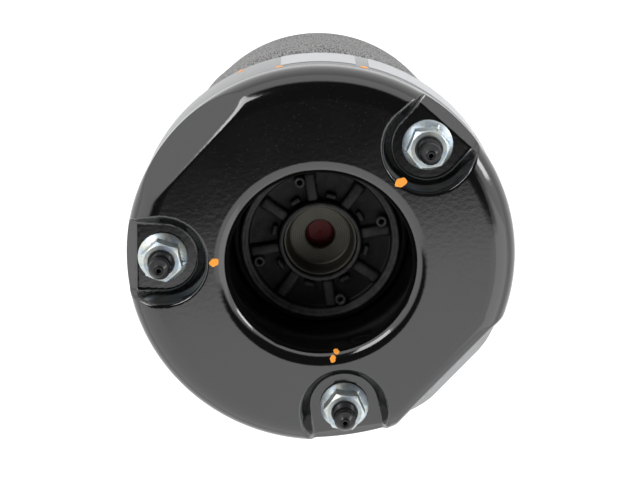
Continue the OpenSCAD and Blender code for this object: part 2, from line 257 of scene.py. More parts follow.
# %% Metal recipe
def metal(name, colour, rough, stain=0.25, ring_mm=0.0, cast_mm=0.0, metallic=1.0):
    recipe = Recipe(name, metallic=metallic)
    where = recipe.place()
    blotch = recipe.noise(where, 7, 4, 0.6)
    fine = recipe.noise(where, 0.5, 2)
    dark = tuple(c * (1 - stain) for c in colour[:3]) + (1,)
    height = fine * 0.3
    shine = rough + blotch * 0.10 + fine * 0.05
    tone = blotch
    if ring_mm:
        axial = recipe.place((1, 1, 0))
        radius = recipe.node("ShaderNodeVectorMath", {"operation": "LENGTH"}, {0: axial}, out=1)
        phase = radius * (2 * math.pi / (ring_mm * MM)) + blotch * 2
        rings = phase.math("SINE", phase)
        height = height + rings * 0.5
        tone = recipe.between(blotch + rings * 0.25, 0.2, 0.85)
    if cast_mm:
        height = height + recipe.noise(where, cast_mm, 3) * 1.5
    recipe.set("Base Color", recipe.tint(tone, dark, tuple(colour[:3]) + (1,)))
    recipe.set("Roughness", shine)
    recipe.bump(height, 0.015 if not cast_mm else 0.06)
    return recipe.done()


finishes = {
    "plate_black": plate_paint,
    "tube_black": tube_paint,
    "stud_steel": metal("stud_steel", (0.038, 0.038, 0.040), 0.18, 0.45, metallic=0.8),
    "core_steel": metal("core_steel", (0.125, 0.12, 0.10), 0.46, 0.35, ring_mm=0.9, metallic=0.8),
    "cap_aluminium": metal("cap_aluminium", (0.33, 0.335, 0.34), 0.34, 0.12, cast_mm=1.4),
    "piston_aluminium": metal("piston_aluminium", (0.55, 0.56, 0.57), 0.34, 0.2, cast_mm=0.9),
    "crimp_steel": metal("crimp_steel", (0.50, 0.51, 0.52), 0.33, 0.3),
    "fitting_brass": metal("fitting_brass", (0.72, 0.53, 0.22), 0.28, 0.3, ring_mm=0.5),
    "rod_chrome": metal("rod_chrome", (0.80, 0.81, 0.83), 0.06, 0.05),
}

# %% [markdown]
# Zinc plating is bright, with a faint blue to straw tint that drifts over the surface. Two tints are
# mixed by slow noise, and a third by the blotches of the bath.

# %% Zinc
def bright_zinc():
    recipe = Recipe("nut_zinc", metallic=0.8)
    where = recipe.place()
    drift = recipe.noise(where, 5, 2)
    blotch = recipe.noise(where, 1.6, 4, 0.65)
    bath = recipe.tint(recipe.between(drift, 0.35, 0.65), (0.52, 0.63, 0.74, 1), (0.66, 0.67, 0.58, 1))
    recipe.set("Base Color", recipe.tint(recipe.between(blotch, 0.2, 0.75), (0.40, 0.44, 0.45, 1), bath))
    recipe.set("Roughness", 0.32 + blotch * 0.16)
    recipe.bump(blotch, 0.02)
    return recipe.done()


finishes["nut_zinc"] = bright_zinc()
print("plated:", finishes["nut_zinc"].name)

# %% [markdown]
# ## Rubber and plastic
# Moulded rubber and plastic are matt, with a spark-eroded grain a few tenths of a millimetre across
# and pale dust specks and clouds all over. One recipe takes the colour, the shine and the size of the grain.

# %% Moulded recipe
def moulded(name, colour, rough, grain_mm=0.35, grain_depth=0.03, lightening=0.3):
    recipe = Recipe(name)
    where = recipe.place()
    grain = recipe.noise(where, grain_mm, 2)
    cloud = recipe.noise(where, 6, 4, 0.6)
    speck = recipe.between(recipe.noise(where, 0.9, 3, 0.7), 0.60, 0.74)
    light = tuple(min(1, c * (1 + lightening) + 0.02 * lightening) for c in colour) + (1,)
    recipe.set("Base Color", recipe.tint(cloud * 0.5 + speck * 0.5, tuple(colour) + (1,), light))
    recipe.set("Roughness", rough + cloud * 0.12)
    recipe.bump(grain, grain_depth)
    return recipe.done()


finishes.update({
    "black_rubber": moulded("black_rubber", (0.010, 0.010, 0.011), 0.62),
    "plug_red": moulded("plug_red", (0.15, 0.003, 0.003), 0.5, 0.8, 0.02, 0.1),
    "label_white": moulded("label_white", (0.43, 0.44, 0.46), 0.32, 1.2, 0.004, 0.05),
    "collet_plastic": moulded("collet_plastic", (0.02, 0.045, 0.14), 0.40),
    "bumper_foam": moulded("bumper_foam", (0.56, 0.50, 0.34), 0.75, 0.8, 0.15),
    "band_brown": moulded("band_brown", (0.20, 0.12, 0.06), 0.50),
    "mark_orange": moulded("mark_orange", (0.95, 0.34, 0.03), 0.45, 1.0, 0.08, 0.15),
})

# %% [markdown]
# The hub is moulded in filled nylon. Its base colour is lighter the higher a point lies: painted
# shade keeps the recesses black, and painted light lifts the raised tops, mixed with scuffs and dust.

# %% Hub recipe
def hub_skin():
    recipe = Recipe("hub_plastic", ior=1.3)
    where = recipe.place()
    height = recipe.node("ShaderNodeSeparateXYZ", None, {0: where}, out=2)
    # Mask by height: painted shade on the sunk floor, painted light on the raised tops.
    painted_light_by_height = recipe.between(height, -0.0402, -0.0362)
    cloud = recipe.between(recipe.noise(where, 4, 4, 0.7), 0.25, 0.8)
    speck = recipe.between(recipe.noise(where, 0.8, 3, 0.7), 0.58, 0.72)
    # Paler colour: painted light on the raised tops mottled by scuffs and dust, plus dust specks all over.
    lightening = painted_light_by_height * (0.3 + cloud * 0.6) + speck * 0.15
    recipe.set("Base Color", recipe.tint(lightening, grey(0.002), grey(0.085)))
    recipe.set("Roughness", 0.42 + cloud * 0.2)
    recipe.bump(recipe.noise(where, 0.6, 2) + cloud * 0.6, 0.06)
    return recipe.done()


finishes["hub_plastic"] = hub_skin()

# %% [markdown]
# ## The bellows' skin
# The bellows is two layers of cord in rubber. Its outside shows a speckled grey web: threads that
# cross at a small angle to the axis, with lighter fluff in between. The pattern reads the piece's
# own UV map, in metres round and along the skin, so it stays on the skin when the strut moves.

# %% Cord skin
def cord_skin():
    recipe = Recipe("bellows_cord")
    skin = recipe.place((1, 0.2, 1), kind="UV")
    fluff = recipe.noise(skin, 1.2, 4, 0.75)
    speck = recipe.noise(skin, 0.6, 2, 0.6)
    cloud = recipe.noise(recipe.place(kind="UV"), 14, 3, 0.6)
    threads = []
    for turn in (math.radians(14), math.radians(-14)):
        along = recipe.place(turn=(0, 0, turn), kind="UV")
        threads.append(recipe.node("ShaderNodeTexWave", {"wave_type": "BANDS", "bands_direction": "X"}, {
            "Vector": along, "Scale": 1 / (3.2 * 1.7 * MM), "Distortion": 1.6, "Detail": 2.0,
            "Detail Scale": 2.0}, out=1))
    web = threads[0].math("MAXIMUM", threads[0], threads[1])
    light = recipe.between(fluff * 0.6 + speck * 0.4 + web * 0.07, 0.43, 0.62)
    shade = recipe.tint(light * (0.6 + cloud * 0.6), grey(0.030, 0.01), grey(0.27, 0.005))
    recipe.set("Base Color", shade)
    recipe.set("Roughness", 0.78 - light * 0.12)
    recipe.bump(fluff * 0.8 + speck * 0.5 + web * 0.5, 0.28)
    return recipe.done()


finishes["bellows_cord"] = cord_skin()
print(len(finishes), "finishes")

# %% [markdown]
# ## Putting the finishes on the hidden parts
# The rod, the seals and the valves inside keep their engineering shape. They only need their
# material: each node's slot is in the record, so a loop hands the finishes out.

# %% Finish every engineering node
node_slot = {s["node"]: s["material_slot"] for s in frame["record"]["subparts"]}
for name, part in frame["nodes"].items():
    part.data.materials.clear()
    part.data.materials.append(finishes[node_slot[name]])
print(len(node_slot), "engineering nodes have a finish")

# %% [markdown]
# ## Helpers for modelling by hand, in code
# Most pieces are turned shapes. `turned` does what a person would: it adds a circle, extrudes its
# edge to the next point of an outline, scales it, and goes on. Outlines are (radius, height) in mm.

# %% Turning
SMOOTH_ANGLE = math.radians(40)


def deselect():
    if bpy.context.mode != "OBJECT":
        bpy.ops.object.mode_set(mode="OBJECT")
    bpy.ops.object.select_all(action="DESELECT")


def settle(piece):
    """Moves the object's place into its mesh, so that it sits at the origin."""
    deselect()
    piece.select_set(True)
    bpy.context.view_layer.objects.active = piece
    bpy.ops.object.transform_apply(location=True, rotation=True, scale=True)
    return piece


def turned(name, outline, segments=128):
    """A closed ring whose section is the outline."""
    deselect()
    first_r, first_z = outline[0]
    bpy.ops.mesh.primitive_circle_add(vertices=segments, radius=first_r * MM, location=(0, 0, first_z * MM))
    piece = settle(bpy.context.object)
    piece.name = name
    bpy.ops.object.mode_set(mode="EDIT")
    bpy.ops.mesh.select_all(action="SELECT")
    for (r0, z0), (r1, z1) in zip(outline, outline[1:]):
        bpy.ops.mesh.extrude_edges_move(TRANSFORM_OT_translate={"value": (0, 0, (z1 - z0) * MM)})
        bpy.ops.transform.resize(value=(r1 / r0, r1 / r0, 1), center_override=(0, 0, z1 * MM))
    bpy.ops.mesh.select_all(action="DESELECT")
    bpy.ops.mesh.select_non_manifold()
    bpy.ops.mesh.bridge_edge_loops()
    bpy.ops.mesh.select_all(action="SELECT")
    bpy.ops.mesh.normals_make_consistent(inside=False)
    bpy.ops.object.mode_set(mode="OBJECT")
    return piece


def modify(piece, kind, **settings):
    """Adds one modifier and applies it."""
    deselect()
    bpy.context.view_layer.objects.active = piece
    piece.select_set(True)
    modifier = piece.modifiers.new(kind.lower(), kind)
    for key, value in settings.items():
        setattr(modifier, key, value)
    bpy.ops.object.modifier_apply(modifier=modifier.name)
    return piece


def soften(piece, width_mm, steps=2, angle=30):
    """Rounds the sharp edges and shades the rest smooth."""
    modify(piece, "BEVEL", width=width_mm * MM, segments=steps, limit_method="ANGLE",
           angle_limit=math.radians(angle), harden_normals=False)
    bpy.ops.object.shade_smooth_by_angle(angle=SMOOTH_ANGLE)
    return piece


def join(name, parts):
    """Makes one object of the parts."""
    deselect()
    for part in parts:
        part.select_set(True)
    bpy.context.view_layer.objects.active = parts[0]
    if len(parts) > 1:
        bpy.ops.object.join()
    parts[0].name = name
    return parts[0]


def copy_at(piece, matrix):
    """A copy with its own mesh, moved by matrix."""
    twin = piece.copy()
    twin.data = piece.data.copy()
    twin.data.transform(matrix)
    bpy.context.scene.collection.objects.link(twin)
    return twin


def finish_piece(piece, body, slot, *nodes):
    """Gives a piece its finish, its body, and the engineering nodes that it stands for."""
    piece.data.materials.clear()
    piece.data.materials.append(finishes[slot])
    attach(piece, body)
    if nodes:
        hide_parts(*nodes)
    print(piece.name, len(piece.data.polygons), "faces")
    return piece


def arc(centre, r, start, end, steps):
    """Points on an arc of an outline, in degrees."""
    angles = [math.radians(start + (end - start) * i / steps) for i in range(steps + 1)]
    return [(centre[0] + r * math.cos(a), centre[1] + r * math.sin(a)) for a in angles]


def run(start, end, steps):
    """Points from start up to but without end."""
    return [(start[0] + (end[0] - start[0]) * i / steps, start[1] + (end[1] - start[1]) * i / steps)
            for i in range(steps)]


# %% [markdown]
# Three pieces need a much finer skin than turning gives: the pressed plate, the threaded stud and the
# bellows. A grid primitive has the right number of squares already. `wrapped` rolls it round the axis
# along a closed outline, and leaves the points in an array that later steps can press and crease.

# %% Rolling a grid round the axis
def wrapped(name, outline, around):
    deselect()
    rings = len(outline)
    bpy.ops.mesh.primitive_grid_add(x_subdivisions=around, y_subdivisions=rings, size=1)
    piece = settle(bpy.context.object)
    piece.name = name
    points = np.zeros(len(piece.data.vertices) * 3)
    piece.data.vertices.foreach_get("co", points)
    points = points.reshape(-1, 3)
    turn = (points[:, 0] + 0.5) * 2 * math.pi
    ring = np.rint((points[:, 1] + 0.5) * rings).astype(int) % rings
    shape = np.array(outline)[ring]
    mesh_points = np.stack([shape[:, 0] * np.cos(turn), shape[:, 0] * np.sin(turn), shape[:, 1]], 1)
    return piece, mesh_points, ring


def weld(piece, points):
    """Writes the points, in mm, and closes the seams."""
    piece.data.vertices.foreach_set("co", (points * MM).ravel())
    piece.data.update()
    deselect()
    bpy.context.view_layer.objects.active = piece
    piece.select_set(True)
    bpy.ops.object.mode_set(mode="EDIT")
    bpy.ops.mesh.select_all(action="SELECT")
    bpy.ops.mesh.remove_doubles(threshold=1e-6)
    bpy.ops.mesh.normals_make_consistent(inside=False)
    bpy.ops.object.mode_set(mode="OBJECT")
    bpy.ops.object.shade_smooth()
    return piece


def ease(value):
    """0 to 1 with a soft start and end."""
    value = np.clip(value, 0, 1)
    return value * value * (3 - 2 * value)


# %% [markdown]
# ## The top plate
# The plate is pressed from one sheet: a well with a rolled lip, a flat seat, a rounded edge, three
# nut pads sunk 9 mm below the seat, and two flats on the rim. Presses leave no sharp corner, so the
# pads and flats are pressed into the fine skin with smooth steps rather than cut out of it.

# %% Top plate
plate_low, plate_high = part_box("mount_plate")
plate_r = plate_high.x / MM
WELL_R, LIP_ROUND, EDGE_ROUND, SKIRT_Z, WELL_Z = 40, 6, 12, -16, plate_low.z / MM
PAD_Z, PAD_R, PAD_RISE, PAD_CHORD = -9, 15.4, 9 / 4.4, 11.7
RIM_SLOPE = math.tan(math.radians(40))
FLAT_TURN, FLAT_X, FLAT_ROUND = math.radians(-42), 76.6, 8
SLOPE_TURN, SLOPE_X = math.radians(137), 71.5
BACKING_Z, BACKING_R = -12.7, 44.2
seat_in, seat_out = WELL_R + LIP_ROUND, plate_r - EDGE_ROUND

upper = (run((WELL_R, WELL_Z), (WELL_R, -LIP_ROUND), 8)
         + arc((seat_in, -LIP_ROUND), LIP_ROUND, 180, 90, 12)
         + run((seat_in + 0.5, 0), (seat_out, 0), 56)
         + arc((seat_out, -EDGE_ROUND), EDGE_ROUND, 90, 0, 24)
         + run((plate_r, -EDGE_ROUND - 0.8), (plate_r, SKIRT_Z + 0.6), 4)
         + arc((plate_r - 0.6, SKIRT_Z + 0.6), 0.6, 0, -90, 3))
lower = [(plate_r - 4, SKIRT_Z), (plate_r - 4, BACKING_Z - 0.2), (66, BACKING_Z), (45, BACKING_Z),
         (BACKING_R, -16), (BACKING_R, WELL_Z)]
plate, points, ring = wrapped("top_plate", upper + lower, 720)
pressed = ring < len(upper)


def soft_min(a, b, size):
    """The lower of two heights, blended where they meet."""
    blend = np.clip(0.5 + 0.5 * (b - a) / size, 0, 1)
    return b * (1 - blend) + a * blend - size * blend * (1 - blend)


def press(points, pressed):
    """Sinks the pads, then lowers the sloping flat and pushes in the vertical one."""
    x, y, z = points.T.copy()
    for angle in stud_angles:
        out = x * math.cos(angle) + y * math.sin(angle) - stud_circle
        side = -x * math.sin(angle) + y * math.cos(angle)
        away = np.where(out < 0, np.hypot(out, side), np.abs(side))
        step = 0.5 * ease((out - PAD_CHORD + 0.4) / 0.6)
        floor_z = PAD_Z - step - RIM_SLOPE * np.maximum(0, out - PAD_CHORD)
        wall = -soft_min(-floor_z - (away - PAD_R) * PAD_RISE, -floor_z, 0.5)
        z = np.where(pressed & (out > -40), soft_min(z, wall, 0.8), z)
    out = x * math.cos(SLOPE_TURN) + y * math.sin(SLOPE_TURN)
    z = np.where(pressed & (out > 60), soft_min(z, -(out - SLOPE_X) * RIM_SLOPE, 0.7), z)
    out = x * math.cos(FLAT_TURN) + y * math.sin(FLAT_TURN)
    side = -x * math.sin(FLAT_TURN) + y * math.cos(FLAT_TURN)
    past = np.maximum(0, out - FLAT_X + FLAT_ROUND)
    round_z = np.sqrt(np.maximum(0, FLAT_ROUND ** 2 - past ** 2)) - FLAT_ROUND
    z = np.where(pressed & (out > FLAT_X - FLAT_ROUND - 1), soft_min(z, round_z, 0.3), z)
    out = np.minimum(out, np.where(pressed, FLAT_X, FLAT_X - 2))
    x = out * math.cos(FLAT_TURN) - side * math.sin(FLAT_TURN)
    y = out * math.sin(FLAT_TURN) + side * math.cos(FLAT_TURN)
    return np.stack([x, y, z], 1)


plate = weld(plate, press(points, pressed))
finish_piece(plate, TOP, "plate_black", "mount_plate")

# %% [markdown]
# ## Studs
# Each stud has a rolled M10 thread with a 1.5 mm pitch, a relief groove, a plain pilot and a cone
# point with a centre mark. The thread is a real helix: each point of a fine tube is pushed in by how
# far it is from the crest of the thread at its own angle and height.

# %% Studs
stud_low, stud_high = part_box("mount_studs")
STUD_R, PITCH, THREAD_DEPTH = 5.0, 1.5, 0.75
tip_z = stud_high.z / MM
thread_top, thread_low = tip_z - 7, -12

stud_outline = (run((STUD_R - 0.4, stud_low.z / MM), (STUD_R - 0.4, thread_low), 2)
                + run((STUD_R, thread_low), (STUD_R, thread_top), 84)
                + [(STUD_R, thread_top), (STUD_R - 0.9, thread_top + 0.7), (STUD_R - 0.9, tip_z - 5.8),
                   (STUD_R - 0.5, tip_z - 5.3), (STUD_R - 0.4, tip_z - 4.8), (STUD_R - 0.4, tip_z - 3.0),
                   (STUD_R - 0.55, tip_z - 2.7), (STUD_R - 2.6, tip_z - 0.25), (STUD_R - 3.0, tip_z),
                   (1.2, tip_z), (1.0, tip_z - 0.3), (0.9, tip_z - 1.8), (0.02, tip_z - 2.0),
                   (0.02, stud_low.z / MM)])
stud, points, ring = wrapped("stud", stud_outline, 64)
x, y, z = points.T
angle = np.arctan2(y, x)
turns = z / PITCH - angle / (2 * math.pi)
valley = np.abs((turns % 1) - 0.5) * 2
on_thread = ease((z - thread_low) / 1.0) * ease((thread_top - z) / 0.8) * (np.hypot(x, y) > STUD_R - 0.1)
shrink = 1 - on_thread * THREAD_DEPTH * ease(valley * 1.25 - 0.1) / STUD_R
stud = weld(stud, np.stack([x * shrink, y * shrink, z], 1))
studs = [copy_at(stud, Matrix.Translation((p.x, p.y, 0)) @ Matrix.Rotation(dice.uniform(0, 6), 4, "Z"))
         for p in stud_places]
bpy.data.objects.remove(stud)
studs = join("studs", studs)
finish_piece(studs, TOP, "stud_steel", "mount_studs")

# %% [markdown]
# ## Flange nuts
# A flange nut is a hexagon on a dished washer face. The hexagon starts as a six-sided cylinder. Its
# top corners are turned off at 30 degrees, which is done by cutting it with a turned cone. The bore
# is cut last, and a small bevel catches the light along the edges.

# %% Flange nuts
NUT_Z, NUT_H, NUT_FLAT = PAD_Z, 9.5, 16


def flange_nut():
    """One nut on the strut's axis."""
    deselect()
    tall = NUT_H - 0.6
    bpy.ops.mesh.primitive_cylinder_add(vertices=6, radius=NUT_FLAT / math.sqrt(3) * MM, depth=tall * MM,
                                        location=(0, 0, (NUT_Z + 0.6 + tall / 2) * MM))
    hexagon = settle(bpy.context.object)
    top_z = NUT_Z + NUT_H
    corner = turned("nut_corner", [(0.5, NUT_Z - 1), (9.6, NUT_Z - 1), (9.6, top_z - 1.5), (7.6, top_z),
                                   (0.5, top_z)], 96)
    modify(hexagon, "BOOLEAN", object=corner, operation="INTERSECT", solver="EXACT")
    washer = turned("nut_washer", [(4.0, NUT_Z + 0.02), (10.6, NUT_Z + 0.02), (10.9, NUT_Z + 0.4),
                                   (10.9, NUT_Z + 1.0), (10.5, NUT_Z + 1.35), (8.6, NUT_Z + 2.3),
                                   (7.6, NUT_Z + 3.1), (4.0, NUT_Z + 3.1)], 96)
    modify(hexagon, "BOOLEAN", object=washer, operation="UNION", solver="EXACT")
    bore = turned("nut_bore", [(0.5, NUT_Z - 2), (STUD_R + 0.06, NUT_Z - 2), (STUD_R + 0.06, top_z - 0.9),
                               (STUD_R + 1.2, top_z + 0.2), (STUD_R + 1.2, top_z + 2), (0.5, top_z + 2)], 64)
    modify(hexagon, "BOOLEAN", object=bore, operation="DIFFERENCE", solver="EXACT")
    for cutter in (corner, washer, bore):
        bpy.data.objects.remove(cutter)
    return soften(hexagon, 0.18, 2, 25)


nut = flange_nut()
nuts = [copy_at(nut, Matrix.Translation((p.x, p.y, 0)) @ Matrix.Rotation(math.radians(turn), 4, "Z"))
        for p, turn in zip(stud_places, (12, 38, 24))]
bpy.data.objects.remove(nut)
nuts = join("nuts", nuts)
finish_piece(nuts, TOP, "nut_zinc", "flange_nuts")

# %% [markdown]
# ## The isolator and the moulded hub
# Inside the well a rubber ring carries the hub. The hub is a black moulding: a thin rim, a sunk
# floor with eight radial ribs, each with a gusset at its outer end, short raised pips between them,
# and four small round bosses with a hole. Each is a primitive with its edges softened, repeated
# round the axis and joined.

# %% Isolator and a bevelled block
hub_low, hub_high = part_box("mount_hub")
HUB_TOP = hub_high.z / MM
HUB_FLOOR, HUB_R = HUB_TOP - 5, hub_high.x / MM

isolator = turned("isolator", [(HUB_R + 0.1, WELL_Z), (WELL_R - 0.1, WELL_Z), (WELL_R - 0.1, -43.5),
                               (WELL_R - 0.8, -41.6), (38, -40.6), (HUB_R + 0.8, -41.4),
                               (HUB_R + 0.1, -43.2)])
soften(isolator, 0.3)
finish_piece(isolator, TOP, "black_rubber", "mount_isolator")


def block(name, size, centre, turn):
    """A bevelled box at centre, turned about the strut's axis."""
    deselect()
    bpy.ops.mesh.primitive_cube_add(size=1, location=[c * MM for c in centre])
    piece = bpy.context.object
    piece.name = name
    piece.scale = [s * MM for s in size]
    settle(piece)
    modify(piece, "BEVEL", width=min(size) * 0.36 * MM, segments=4)
    piece.data.transform(Matrix.Rotation(turn, 4, "Z"))
    return piece


# %% Hub
hub_parts = [soften(turned("hub_base", [
    (16.9, hub_low.z / MM), (HUB_R, hub_low.z / MM), (HUB_R, HUB_TOP - 0.8), (HUB_R - 0.6, HUB_TOP),
    (HUB_R - 1.7, HUB_TOP), (HUB_R - 2.0, HUB_TOP - 1.5), (HUB_R - 3.3, HUB_TOP - 1.7),
    (HUB_R - 3.9, HUB_FLOOR + 0.4), (31, HUB_FLOOR), (19.6, HUB_FLOOR), (18.9, HUB_FLOOR + 0.5),
    (18.5, HUB_TOP - 0.5), (18.1, HUB_TOP), (16.9, HUB_TOP)]), 0.25)]
RIBS, FIRST_RIB, BOSSES, FIRST_BOSS, BOSS_R = 8, 10, 4, 19, 29.2
for i in range(RIBS):
    rib_turn = math.radians(FIRST_RIB + 360 / RIBS * i)
    pip_turn = rib_turn + math.radians(22)
    hub_parts.append(block("hub_rib", (13.6, 5.2, 4.2), (25.2, 0, HUB_FLOOR + 0.9), rib_turn))
    hub_parts.append(block("hub_pip", (2.5, 5.0, 3.2), (21.3, 0, HUB_FLOOR + 1.0), pip_turn))
    hub_parts.append(block("hub_gusset", (4.5, 6.2, 2.6), (30.2, 0, HUB_FLOOR + 0.4), rib_turn))
boss = turned("hub_boss", [(1.1, -3), (2.5, -3), (2.5, 0.2), (2.2, 0.6), (1.5, 0.6), (1.1, 0.1)], 32)
soften(boss, 0.12)
for i in range(BOSSES):
    boss_turn = math.radians(FIRST_BOSS + 360 / BOSSES * i)
    hub_parts.append(copy_at(boss, Matrix.Translation((BOSS_R * MM * math.cos(boss_turn),
                                                       BOSS_R * MM * math.sin(boss_turn),
                                                       (HUB_FLOOR + 4.0) * MM))))
bpy.data.objects.remove(boss)
hub = join("hub", hub_parts)
deselect()
hub.select_set(True)
bpy.context.view_layer.objects.active = hub
bpy.ops.object.shade_smooth_by_angle(angle=SMOOTH_ANGLE)
finish_piece(hub, TOP, "hub_plastic", "mount_hub")

# %% [markdown]
# ## The steel core and its plug
# The core is turned from bar: a deep collar, a face at its bottom that falls slightly to the middle,
# and a 13 mm bore, where a red plug keeps dirt out of the rod's end. Fine steps in the outline give
# the rings that the tool left.

# %% Core and plug
core_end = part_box("core_sleeve")[0].z / MM
plug_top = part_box("core_plug")[1].z / MM
CORE_R, CORE_BORE, FACE_Z = 16.7, 6.6, -48
face_rings = []
for i in range(7):
    face_rings += [(12.7 - 0.78 * i, FACE_Z - 0.16 * i), (12.3 - 0.78 * i, FACE_Z - 0.03 - 0.16 * i)]
core = turned("core", [
    (8.05, core_end), (CORE_R, core_end), (CORE_R, -39.3), (16.3, -38.8), (15.7, -38.8),
    (15.4, -39.2), (14.4, FACE_Z + 1.4), (14.0, FACE_Z + 0.6), (13.2, FACE_Z + 0.1)] + face_rings
    + [(7.0, FACE_Z - 1.25), (CORE_BORE, FACE_Z - 1.7), (CORE_BORE, -63), (8.05, -63)])
soften(core, 0.12, 2, 25)
finish_piece(core, TOP, "core_steel", "core_sleeve")

plug = turned("plug", [
    (0.15, plug_top - 6), (CORE_BORE - 0.1, plug_top - 6), (CORE_BORE - 0.1, plug_top - 0.6),
    (CORE_BORE - 0.5, plug_top), (CORE_BORE - 0.9, plug_top), (CORE_BORE - 1.2, plug_top - 1.2),
    (0.15, plug_top - 1.5)], 64)
soften(plug, 0.2)
finish_piece(plug, TOP, "plug_red", "core_plug")

# %% [markdown]
# ## The aluminium cap and its labels
# The cap is a casting whose outer band is machined: a shallow groove runs round it, and the band is
# flat under the vertical flat of the plate. The labels are blank film, each a grid bent round the
# band and given a thickness.

# %% Cap
cap_low, cap_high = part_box("spring_cap")
cap_r, CAP_BAND_Z, CAP_TOP_Z, BAND_FLAT_X = cap_high.x / MM, -48, -13.1, 82.4
cap = turned("cap", [
    (20, -68), (48, -68), (48, -18), (70, -18), (70, cap_low.z / MM), (74, cap_low.z / MM), (74, -49.5),
    (75, CAP_BAND_Z), (cap_r - 1, CAP_BAND_Z), (cap_r, CAP_BAND_Z + 1), (cap_r, -20.6), (cap_r - 0.4, -20.3),
    (cap_r - 0.4, -19.5), (cap_r, -19.2), (cap_r, -17), (cap_r - 0.7, -16.1), (74, -16.1),
    (74, CAP_TOP_Z), (45, CAP_TOP_Z), (44.4, -62), (20, -62)], 192)
flat_side = Vector((math.cos(FLAT_TURN), math.sin(FLAT_TURN), 0))
for v in cap.data.vertices:
    v.co -= flat_side * max(0, v.co.dot(flat_side) - BAND_FLAT_X * MM)
soften(cap, 0.3, 2)
finish_piece(cap, TOP, "cap_aluminium", "spring_cap")


def band_film(name, start, span, z_low, z_high, radius, thick, across=36):
    """A film wrapped round the band from start over span degrees."""
    deselect()
    bpy.ops.mesh.primitive_grid_add(x_subdivisions=across, y_subdivisions=2, size=1)
    film = settle(bpy.context.object)
    film.name = name
    for v in film.data.vertices:
        turn = math.radians(start + (v.co.x + 0.5) * span)
        height = z_low + (v.co.y + 0.5) * (z_high - z_low)
        v.co = Vector((radius * math.cos(turn), radius * math.sin(turn), height)) * MM
    modify(film, "SOLIDIFY", thickness=thick * MM, offset=0)
    bpy.ops.object.shade_smooth_by_angle(angle=math.radians(30))
    return film


LABEL_LOW, LABEL_HIGH = -45.8, -24.2
labels = join("labels", [band_film("label_a", 80, 22, LABEL_LOW, LABEL_HIGH, cap_r + 0.14, 0.2),
                         band_film("label_b", 37, 39, LABEL_LOW, LABEL_HIGH, cap_r + 0.14, 0.2)])
finish_piece(labels, TOP, "label_white", "cap_labels")

# %% [markdown]
# ## The bellows
# The bellows is one cord-and-rubber tube. It is crimped on the cap's neck, swells to its working
# diameter, narrows a little, and rolls inward at the bottom. Soft creases keep it from looking like
# a turned part. It has its own UV map, in metres round and along the skin.

# %% Bellows outline
NECK_R, BELLOWS_R, WALL = 76.8, 78.5, 2.6
SKIN_TOP, SWELL_Z, TAPER_Z = -56, -74, -96
LOBE_Z, LEG_R, lobe_out = -195, 50.3, 70
lobe_mid, lobe_r = (lobe_out + LEG_R) / 2, (lobe_out - LEG_R) / 2


def skin_radius(z):
    """The outside radius of the bellows at a height."""
    swell = ease((SWELL_Z - z) / 18)
    taper = np.maximum(0, TAPER_Z - z) / (TAPER_Z - LOBE_Z)
    return NECK_R + swell * (BELLOWS_R - NECK_R) - taper * (BELLOWS_R - lobe_out)


heights = np.linspace(SKIN_TOP, LOBE_Z + 1.2, 96)
outside = [(float(skin_radius(z)), float(z)) for z in heights]
lobe = arc((lobe_mid, LOBE_Z), lobe_r, 0, -180, 28)
inner_lobe = arc((lobe_mid, LOBE_Z), lobe_r - WALL, -180, 0, 16)
inside = [(float(skin_radius(z)) - WALL, float(z)) for z in np.linspace(LOBE_Z + 4, SKIN_TOP, 12)]
outline = outside + lobe + inner_lobe + inside
bellows, points, ring = wrapped("bellows_skin", outline, 300)
print("the skin's outline has", len(outline), "points")

# %% Creases
x, y, z = points.T
angle = np.arctan2(y, x)
outer = ring < len(outside)
hold = ease((-78 - z) / 14) * ease((z - LOBE_Z) / 25)
crease = (0.42 * np.sin(3 * angle + z / 31) + 0.30 * np.sin(7 * angle - z / 17 + 1.3)
          + 0.22 * np.sin(13 * angle + z / 9 + 0.4))
fold_z = -103 - 2.0 * np.sin(2 * angle)
fold = -0.9 * np.exp(-((z - fold_z) / 2.2) ** 2) * (0.6 + 0.4 * np.sin(angle * 2 + 2))
reach = 1 + np.where(outer, hold * (crease + fold), 0) / np.hypot(x, y)
bellows = weld(bellows, np.stack([x * reach, y * reach, z], 1))
print("creases up to", round(float(np.abs(crease).max()), 2), "mm deep")

# %% The skin's map
uv = bellows.data.uv_layers.active
co = np.array([v.co for v in bellows.data.vertices])
turn_m = np.arctan2(co[:, 1], co[:, 0]) * BELLOWS_R * MM
inward_m = BELLOWS_R * MM - np.hypot(co[:, 0], co[:, 1])
along_m = np.where(co[:, 2] > LOBE_Z * MM, -co[:, 2], -LOBE_Z * MM + inward_m)
around_m = 2 * math.pi * BELLOWS_R * MM
for face in bellows.data.polygons:
    turns = [turn_m[v] for v in face.vertices]
    wrap = max(turns) - min(turns) > around_m / 2
    for loop, vertex, place in zip(face.loop_indices, face.vertices, turns):
        uv.data[loop].uv = (place + (around_m if wrap and place < 0 else 0), along_m[vertex])

bellows.data.materials.clear()
bellows.data.materials.append(finishes["bellows_cord"])
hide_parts("bellows")
print("bellows", len(bellows.data.polygons), "faces")

# %% [markdown]
# The skin joins two bodies that slide apart, but here it is not tied to either of them. The short leg
# inside, on the piston, moves with the damper alone.

# %% Bellows leg, crimp rings
leg = turned("bellows_leg", [(LEG_R, LOBE_Z + 1), (LEG_R + WALL, LOBE_Z + 1), (LEG_R + WALL, -156),
                             (LEG_R, -156)])
soften(leg, 0.3)
finish_piece(leg, LOWER, "black_rubber")
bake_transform(bellows)

crimp = turned("upper_crimp", [
    (76.9, -72), (78.3, -72), (79.1, -71.3), (79.1, -70.4), (78.5, -69.4), (78.5, -66.2), (78.0, -65.6),
    (78.0, -64.4), (78.5, -63.8), (78.5, -60.6), (79.1, -59.6), (79.1, -58.7), (78.3, -58), (76.9, -58)], 192)
soften(crimp, 0.2)
finish_piece(crimp, TOP, "crimp_steel", "upper_crimp_ring")

